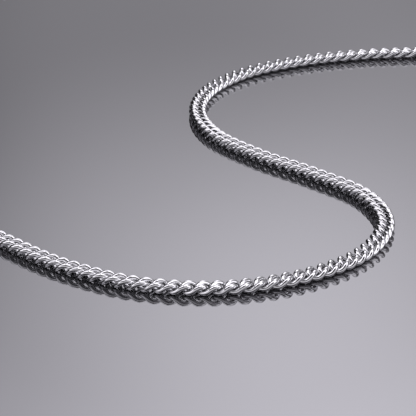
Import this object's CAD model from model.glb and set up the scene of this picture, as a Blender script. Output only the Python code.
"""The looks of a polished curb chain necklace that lies in a loose winding loop on a glossy sheet."""

import math

import bpy
import numpy as np
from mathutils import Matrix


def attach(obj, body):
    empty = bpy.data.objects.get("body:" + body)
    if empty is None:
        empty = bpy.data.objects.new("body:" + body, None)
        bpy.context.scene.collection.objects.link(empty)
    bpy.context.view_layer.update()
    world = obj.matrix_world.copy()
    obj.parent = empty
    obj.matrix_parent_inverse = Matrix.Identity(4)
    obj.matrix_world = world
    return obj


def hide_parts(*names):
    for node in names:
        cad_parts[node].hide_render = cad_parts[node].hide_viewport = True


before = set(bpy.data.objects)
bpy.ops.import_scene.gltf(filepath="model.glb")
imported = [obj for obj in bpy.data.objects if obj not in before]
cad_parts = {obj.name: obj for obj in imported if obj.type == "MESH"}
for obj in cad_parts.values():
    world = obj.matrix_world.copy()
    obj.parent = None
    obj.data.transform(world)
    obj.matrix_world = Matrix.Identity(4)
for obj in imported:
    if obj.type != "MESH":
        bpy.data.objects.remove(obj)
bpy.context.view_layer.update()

MM = 0.001

# The chain's sizes in millimetres, the same as in the part's source
PITCH = 2.35
TWIST = math.radians(40)
WIRE_D = 0.36 * PITCH
LINK_L = 1.58 * PITCH
LINK_W = 1.06 * PITCH
END_R = 0.3 * PITCH

# The clasp's barrel, whose groove is this share as deep as it is wide to each side
BARREL_L = 8
BARREL_D = 2.2
BARREL_BEVEL = 0.35
BARREL_GROOVE = 0.2
GROOVE_DEPTH_SHARE = 0.9

# The clasp's two loops: each is let into the barrel a little and leans over almost to the floor
LOOP_WIRE = 0.55
LOOP_R = 1
LOOP_TILT = math.radians(40)
LOOP_BITE = 0.25
LOOP_LIFT = 0.02
LOOP_X = BARREL_L / 2 + LOOP_R - LOOP_BITE
LOOP_Z = LOOP_R * math.sin(LOOP_TILT) + LOOP_WIRE / 2 + LOOP_LIFT

# The chain's route, as points passed in turn, x then y, and the steps from one to the next
ROUTE = np.array([
    (10, 92.5), (-4.5, 92.5), (-19, 92.5), (-33.5, 92.5),
    (-48.5, 92), (-59.5, 86.5), (-65.5, 74), (-65, 58),
    (-65, 43), (-64.5, 27), (-63.5, 10), (-63.5, -6.5),
    (-62.5, -21), (-60, -34.5), (-55.5, -47.5), (-48.5, -60),
    (-40, -70.6), (-30.5, -80.5), (-18.5, -88), (-5, -89.7),
    (8, -84.8), (18.1, -75), (22.6, -61.5), (19.9, -47.6),
    (11.5, -36.5), (1.9, -26.4), (-6.1, -14.7), (-9.3, -1.1),
    (-6.9, 12.6), (0.6, 24.2), (12, 32.2), (24.9, 36.8),
    (39.4, 39), (53.3, 44.1), (62.5, 57), (62.8, 73),
    (53.5, 85.3), (39.5, 92), (25, 92.5),
])
STEPS_PER_SPAN = 16

# Distance of the clasp's middle along the route: just past the middle of the first span
CLASP_SHIFT = 0.1
CLASP_S = np.linalg.norm(ROUTE[0] - ROUTE[1]) / 2 + CLASP_SHIFT

# How finely the parts are meshed, and how many pieces each half of the chain is shared between
WIRE_SIDES = 18
END_POINTS = 9
SIDE_POINTS = 13
BARREL_SIDES = 48
RIM_POINTS = 7
GROOVE_POINTS = 9
LOOP_POINTS = 48
LOOP_SIDES = 16
PIECES_PER_HALF = 2

# How bright and how rough the steel is
CHAIN_TONE = 0.86
CHAIN_ROUGHNESS = 0.05
CLASP_TONE = 0.84
CLASP_ROUGHNESS = 0.07

# The steel's cloudiness: its scale per metre, the noise values between which its colour goes from
# dull to clear, those two colours as shares of the tone, and its least and most roughness as shares
CLOUD_SCALE = 900
CLOUD_EDGES = (0.3, 0.7)
CLOUD_COLOURS = ((0.93, 0.93, 0.95), (1, 1, 1.01))
CLOUD_ROUGHNESS = (0.7, 1.4)

# The steel's fine rubbing marks: their scale per metre, strength, and height in metres
MARK_SCALE = 6000
MARK_STRENGTH = 0.05
MARK_HEIGHT = 0.00002

# The sheet that the necklace lies on: how far it reaches each way in millimetres, and its looks
SHEET_REACH = 3000
SHEET_COLOUR = (0.03, 0.03, 0.032)
SHEET_ROUGHNESS = 0.015
SHEET_IOR = 2.4
SHEET_TINT = (0.987, 0.985, 1.03)

# Each patch of studio light: its compass direction and height in degrees, the angles from its
# middle at which it starts and ends fading, and its strength
LIGHT_PATCHES = [
    # Faint all round
    (0, 90, 170, 180, 0.015),
    # Overhead: a weak patch between two strong ones
    (0, 90, 4, 24, 0.75),
    (90, 66, 14, 26, 1.55),
    (-90, 66, 14, 26, 1.55),
    # Lower down, to the right and left
    (100, 25, 14, 23, 1.4),
    (-103, 26, 13, 20, 1.25),
    # Low behind the camera
    (135, 8, 8, 34, 0.6),
    (180, 8, 8, 34, 0.6),
    (-135, 8, 8, 34, 0.6),
    # Beyond the necklace, mirrored in the sheet
    (0, 44, 12, 28, 0.4),
    (0, 36, 4, 18, 0.55),
    (12, 38, 8, 26, 0.38),
    (12, 30, 4, 16, 0.51),
    (20, 34, 12, 26, 0.16),
    (40, 30, 5, 50, 0.26),
    (0, 26, 2, 10, 0.29),
    (-8, 30, 4, 16, 0.18),
    (0, 16, 2, 10, 0.5),
]

# The light's faint violet cast
LIGHT_TINT = (0.995, 0.97, 1.035)

# The camera's place in millimetres, over the route's own points and above the chain's middle
CAMERA_X = -7.3
CAMERA_Y = -429.6
CAMERA_HEIGHT = 60.08 * PITCH

# How far the camera looks down, and its lens: the focal length and the photo's width in pixels
CAMERA_TILT = math.radians(20.6)
FOCAL_PX = 2335
PHOTO_PX = 416
SENSOR_MM = 36
CLIP_START = 0.01


def smooth_route():
    """The closed curve through the route's points, its middle, and the distance run at each step.

    The curve is moved so that its middle is at the origin, as in the part's source.
    """
    count = len(ROUTE)
    t = (np.arange(STEPS_PER_SPAN) / STEPS_PER_SPAN)[:, None]
    steps = []
    for i in range(count):
        a, b, c, d = (ROUTE[(i + k) % count] for k in (-1, 0, 1, 2))
        bend = 2 * a - 5 * b + 4 * c - d + t * (3 * b - a - 3 * c + d)
        steps.append(b + t / 2 * (c - a + t * bend))
    points = np.vstack(steps + [steps[0][:1]])
    middle = (points.min(0) + points.max(0)) / 2
    run = np.r_[0, np.cumsum(np.linalg.norm(np.diff(points, axis=0), axis=1))]
    return points - middle, middle, run


TRACE, MIDDLE, RUN = smooth_route()
LOOP_LENGTH = RUN[-1]


def place(s):
    """The point of the route at distance s from its start."""
    s = s % LOOP_LENGTH
    return np.array([np.interp(s, RUN, TRACE[:, 0]), np.interp(s, RUN, TRACE[:, 1])])


def heading(s):
    """The route's direction at distance s, in radians."""
    step = place(s + PITCH / 4) - place(s - PITCH / 4)
    return math.atan2(step[1], step[0])


def laid(points, s, height):
    """Points given round the origin, put on the route at distance s and turned along it."""
    angle = heading(s)
    x, y = place(s)
    turn = np.array([
        [math.cos(angle), math.sin(angle), 0],
        [-math.sin(angle), math.cos(angle), 0],
        [0, 0, 1],
    ])
    return points @ turn + [x, y, height]


def link_centreline():
    """The middle of a link's wire: a quarter of it in two arcs, then its copies turned half round."""
    end_x = LINK_L / 2 - END_R
    meet_x = (end_x ** 2 + LINK_W ** 2 / 4 - END_R ** 2) / (2 * end_x)
    meet_s = LINK_W / (2 * math.cos(TWIST))
    reach = math.hypot(meet_x, LINK_W / 2 * math.tan(TWIST))
    past_end = meet_x - end_x
    end_half = math.atan2(meet_s, past_end) - math.acos(END_R / math.hypot(past_end, meet_s))
    along = np.array([1, 0, 0])
    across = np.array([0, math.cos(TWIST), -math.sin(TWIST)])
    centre = end_x * along
    stop = centre + END_R * (math.cos(end_half) * along + math.sin(end_half) * across)
    tangent = math.cos(end_half) * across - math.sin(end_half) * along
    side_stop = np.array([0, LINK_W / 2, 0])
    side_tangent = (side_stop - stop - reach * tangent) / reach
    turn = math.acos(side_tangent @ tangent)
    side_r = reach / math.tan(turn / 2)
    inward = (side_tangent - (side_tangent @ tangent) * tangent) / math.sin(turn)
    a = np.linspace(0, end_half, END_POINTS)[:-1, None]
    end_arc = centre + END_R * (np.cos(a) * along + np.sin(a) * across)
    a = np.linspace(0, turn, SIDE_POINTS)[:, None]
    side_arc = stop + side_r * inward + side_r * (np.sin(a) * tangent - np.cos(a) * inward)
    quarter = np.vstack([end_arc, side_arc])
    half = np.vstack([quarter, (quarter * [-1, 1, -1])[::-1][1:]])
    return np.vstack([half, (half * [1, -1, -1])[::-1][1:-1]])


LINK_PATH = link_centreline()

# Height of the chain's middle, at which its lowest points just touch the floor
CHAIN_MIDDLE = WIRE_D / 2 - LINK_PATH[:, 2].min()


def closed_tube(path, radius, sides):
    """Points and faces of a round wire along a closed path, with its first side turned outward."""
    tangent = np.roll(path, -1, 0) - np.roll(path, 1, 0)
    tangent /= np.linalg.norm(tangent, axis=1)[:, None]
    outward = path - path.mean(0)
    outward -= (outward * tangent).sum(1)[:, None] * tangent
    outward /= np.linalg.norm(outward, axis=1)[:, None]
    up = np.cross(tangent, outward)
    a = np.linspace(0, 2 * np.pi, sides, endpoint=False)[None, :, None]
    points = path[:, None] + radius * (np.cos(a) * outward[:, None] + np.sin(a) * up[:, None])
    ring = np.arange(len(path))[:, None] * sides
    next_ring = np.roll(ring, -1, 0)
    side = np.arange(sides)[None, :]
    next_side = np.roll(side, -1, 1)
    corners = [ring + side, ring + next_side, next_ring + next_side, next_ring + side]
    return points.reshape(-1, 3), np.stack(corners, axis=2).reshape(-1, 4)


def revolved(profile, sides):
    """Points and faces of a closed body: (x, radius) pairs turned round the x axis."""
    profile = np.asarray(profile, float)
    a = np.linspace(0, 2 * np.pi, sides, endpoint=False)
    points = np.stack([
        np.repeat(profile[:, :1], sides, 1),
        profile[:, 1:] * np.cos(a),
        profile[:, 1:] * np.sin(a),
    ], axis=2).reshape(-1, 3)
    faces = []
    for ring in range(0, len(points) - sides, sides):
        next_ring = ring + sides
        for side in range(sides):
            next_side = (side + 1) % sides
            faces.append((ring + side, next_ring + side, next_ring + next_side, ring + next_side))
    faces.append(tuple(range(sides)))
    faces.append(tuple(reversed(range(len(points) - sides, len(points)))))
    return points, faces


def joined(bodies):
    """The points and faces of several bodies as those of one."""
    points, faces = [], []
    shift = 0
    for body_points, body_faces in bodies:
        points.append(body_points)
        faces += [[int(corner) + shift for corner in face] for face in body_faces]
        shift += len(body_points)
    return np.vstack(points), faces


def mesh_piece(name, points, faces, material):
    """An object at the origin from points in millimetres, shaded smooth."""
    mesh = bpy.data.meshes.new(name)
    mesh.from_pydata((np.asarray(points) * MM).tolist(), [], faces)
    mesh.polygons.foreach_set("use_smooth", [True] * len(mesh.polygons))
    mesh.materials.append(material)
    piece = bpy.data.objects.new(name, mesh)
    bpy.context.scene.collection.objects.link(piece)
    return piece


def new_material(name):
    """A node material, with its node tree and its shader node."""
    material = bpy.data.materials.new(name)
    material.use_nodes = True
    tree = material.node_tree
    return material, tree, tree.nodes["Principled BSDF"]


def add_node(tree, kind, inputs):
    """A new node with the given values on its sockets, which go by name or number."""
    node = tree.nodes.new(kind)
    for socket, value in inputs.items():
        node.inputs[socket].default_value = value
    return node


def polished_steel(name, tone, roughness):
    """Bright polished metal with a faint cloudiness in its tone and gloss, and fine rubbing marks."""
    material, tree, shader = new_material(name)
    shader.inputs["Metallic"].default_value = 1
    where = tree.nodes.new("ShaderNodeTexCoord")
    clouds = add_node(tree, "ShaderNodeTexNoise", {"Scale": CLOUD_SCALE, "Detail": 3})
    tree.links.new(where.outputs["Object"], clouds.inputs["Vector"])
    tint = tree.nodes.new("ShaderNodeValToRGB")
    for stop, edge, colour in zip(tint.color_ramp.elements, CLOUD_EDGES, CLOUD_COLOURS):
        stop.position = edge
        stop.color = [tone * share for share in colour] + [1]
    tree.links.new(clouds.outputs["Fac"], tint.inputs["Fac"])
    tree.links.new(tint.outputs["Color"], shader.inputs["Base Color"])
    least, most = (roughness * share for share in CLOUD_ROUGHNESS)
    gloss = add_node(tree, "ShaderNodeMapRange", {"To Min": least, "To Max": most})
    tree.links.new(clouds.outputs["Fac"], gloss.inputs["Value"])
    tree.links.new(gloss.outputs["Result"], shader.inputs["Roughness"])
    marks = add_node(tree, "ShaderNodeTexNoise", {"Scale": MARK_SCALE, "Detail": 2})
    tree.links.new(where.outputs["Object"], marks.inputs["Vector"])
    bump = add_node(tree, "ShaderNodeBump", {"Strength": MARK_STRENGTH, "Distance": MARK_HEIGHT})
    tree.links.new(marks.outputs["Fac"], bump.inputs["Height"])
    tree.links.new(bump.outputs["Normal"], shader.inputs["Normal"])
    return material


def glossy_sheet(name):
    """A dark glassy sheet that takes its pale tone from the light that it mirrors."""
    material, _, shader = new_material(name)
    shader.inputs["Base Color"].default_value = (*SHEET_COLOUR, 1)
    shader.inputs["Roughness"].default_value = SHEET_ROUGHNESS
    shader.inputs["IOR"].default_value = SHEET_IOR
    shader.inputs["Specular Tint"].default_value = (*SHEET_TINT, 1)
    return material


def link_places():
    """The distance of each link along the route, spread evenly from one clasp loop to the other."""
    end_s = LOOP_X + LINK_L / 2
    links = round((LOOP_LENGTH - 2 * end_s) / PITCH) + 1
    step = (LOOP_LENGTH - 2 * end_s) / (links - 1)
    return [CLASP_S + end_s + i * step for i in range(links)]


def make_chain():
    """All links, in a few pieces, each standing for the half of the chain that it is part of."""
    link_points, link_faces = closed_tube(LINK_PATH, WIRE_D / 2, WIRE_SIDES)
    steel = polished_steel("chain_steel", CHAIN_TONE, CHAIN_ROUGHNESS)
    places = link_places()
    half = len(places) // 2
    halves = {"curb_chain_left": places[:half], "curb_chain_right": places[half:]}
    for node, half_places in halves.items():
        shares = np.array_split(half_places, PIECES_PER_HALF)
        for number, share in enumerate(shares, start=1):
            links = [(laid(link_points, s, CHAIN_MIDDLE), link_faces) for s in share]
            piece = mesh_piece(f"{node}_{number}", *joined(links), steel)
            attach(piece, "root")
            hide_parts(node)


def barrel():
    """Points and faces of the clasp's barrel along x, with its rounded rims and its groove."""
    r = BARREL_D / 2
    turns = np.linspace(0, math.pi / 2, RIM_POINTS)
    rim = [(BARREL_BEVEL * math.sin(a), BARREL_BEVEL * (math.cos(a) - 1)) for a in turns]
    right = [(BARREL_L / 2 - BARREL_BEVEL + x, r + inset) for x, inset in rim]
    left = [(-x, radius) for x, radius in reversed(right)]
    groove = [
        (x * BARREL_GROOVE, r - BARREL_GROOVE * (1 - abs(x)) ** 0.5 * GROOVE_DEPTH_SHARE)
        for x in np.linspace(-1, 1, GROOVE_POINTS)
    ]
    points, faces = revolved(left + groove + right, BARREL_SIDES)
    return points + [0, 0, r], faces


def end_loop(way):
    """Points and faces of the clasp's loop at its left end, way -1, or its right end, way 1."""
    lean = -way * LOOP_TILT
    a = np.linspace(0, 2 * np.pi, LOOP_POINTS, endpoint=False)
    path = np.stack([
        way * LOOP_X + LOOP_R * np.cos(a),
        LOOP_R * np.sin(a) * math.cos(lean),
        LOOP_Z + LOOP_R * np.sin(a) * math.sin(lean),
    ], axis=1)
    return closed_tube(path, LOOP_WIRE / 2, LOOP_SIDES)


def make_clasp():
    """The barrel and the two loops that hold the end links, as one piece."""
    points, faces = joined([barrel(), end_loop(-1), end_loop(1)])
    steel = polished_steel("clasp_steel", CLASP_TONE, CLASP_ROUGHNESS)
    piece = mesh_piece("clasp_barrel", laid(points, CLASP_S, 0), faces, steel)
    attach(piece, "root")
    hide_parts("clasp")


def make_floor():
    """The sheet that the necklace lies on."""
    ends = ((-1, -1), (1, -1), (1, 1), (-1, 1))
    corners = [(x * SHEET_REACH, y * SHEET_REACH, 0) for x, y in ends]
    floor = mesh_piece("floor_sheet", corners, [(0, 1, 2, 3)], glossy_sheet("floor_gloss"))


def make_camera():
    """The photo's view: from the front, about twenty degrees above the floor, with a long lens."""
    data = bpy.data.cameras.new("camera")
    data.sensor_width = SENSOR_MM
    data.lens = FOCAL_PX / PHOTO_PX * SENSOR_MM
    data.clip_start = CLIP_START
    camera = bpy.data.objects.new("camera", data)
    place_mm = (CAMERA_X - MIDDLE[0], CAMERA_Y - MIDDLE[1], CAMERA_HEIGHT + CHAIN_MIDDLE)
    camera.location = [v * MM for v in place_mm]
    camera.rotation_euler = (math.pi / 2 - CAMERA_TILT, 0, 0)
    bpy.context.scene.collection.objects.link(camera)
    bpy.context.scene.camera = camera


def direction(compass, height):
    """The unit vector towards a compass direction, where 0 is +Y and 90 is +X, and a height."""
    a, e = math.radians(compass), math.radians(height)
    return math.sin(a) * math.cos(e), math.cos(a) * math.cos(e), math.sin(e)


def light_patch(tree, toward, compass, height, inner, outer, strength):
    """The socket with one patch's brightness in the direction that the socket toward gives."""
    nearness = add_node(tree, "ShaderNodeVectorMath", {1: direction(compass, height)})
    nearness.operation = "DOT_PRODUCT"
    tree.links.new(toward, nearness.inputs[0])
    fade = add_node(tree, "ShaderNodeMapRange", {
        "From Min": math.cos(math.radians(outer)),
        "From Max": math.cos(math.radians(inner)),
        "To Max": strength,
    })
    fade.interpolation_type = "SMOOTHSTEP"
    tree.links.new(nearness.outputs["Value"], fade.inputs["Value"])
    return fade.outputs["Result"]


def make_light():
    """Soft studio light: all the patches added up, with a faint tint."""
    world = bpy.data.worlds.new("studio")
    bpy.context.scene.world = world
    world.use_nodes = True
    tree = world.node_tree
    toward = tree.nodes.new("ShaderNodeTexCoord").outputs["Generated"]
    total, *others = [light_patch(tree, toward, *patch) for patch in LIGHT_PATCHES]
    for brightness in others:
        add = tree.nodes.new("ShaderNodeMath")
        tree.links.new(total, add.inputs[0])
        tree.links.new(brightness, add.inputs[1])
        total = add.outputs["Value"]
    tinted = add_node(tree, "ShaderNodeVectorMath", {1: LIGHT_TINT})
    tinted.operation = "MULTIPLY"
    tree.links.new(total, tinted.inputs[0])
    tree.links.new(tinted.outputs["Vector"], tree.nodes["Background"].inputs["Color"])


make_camera()
make_light()
make_floor()
make_chain()
make_clasp()
bpy.context.scene.view_settings.view_transform = "Standard"
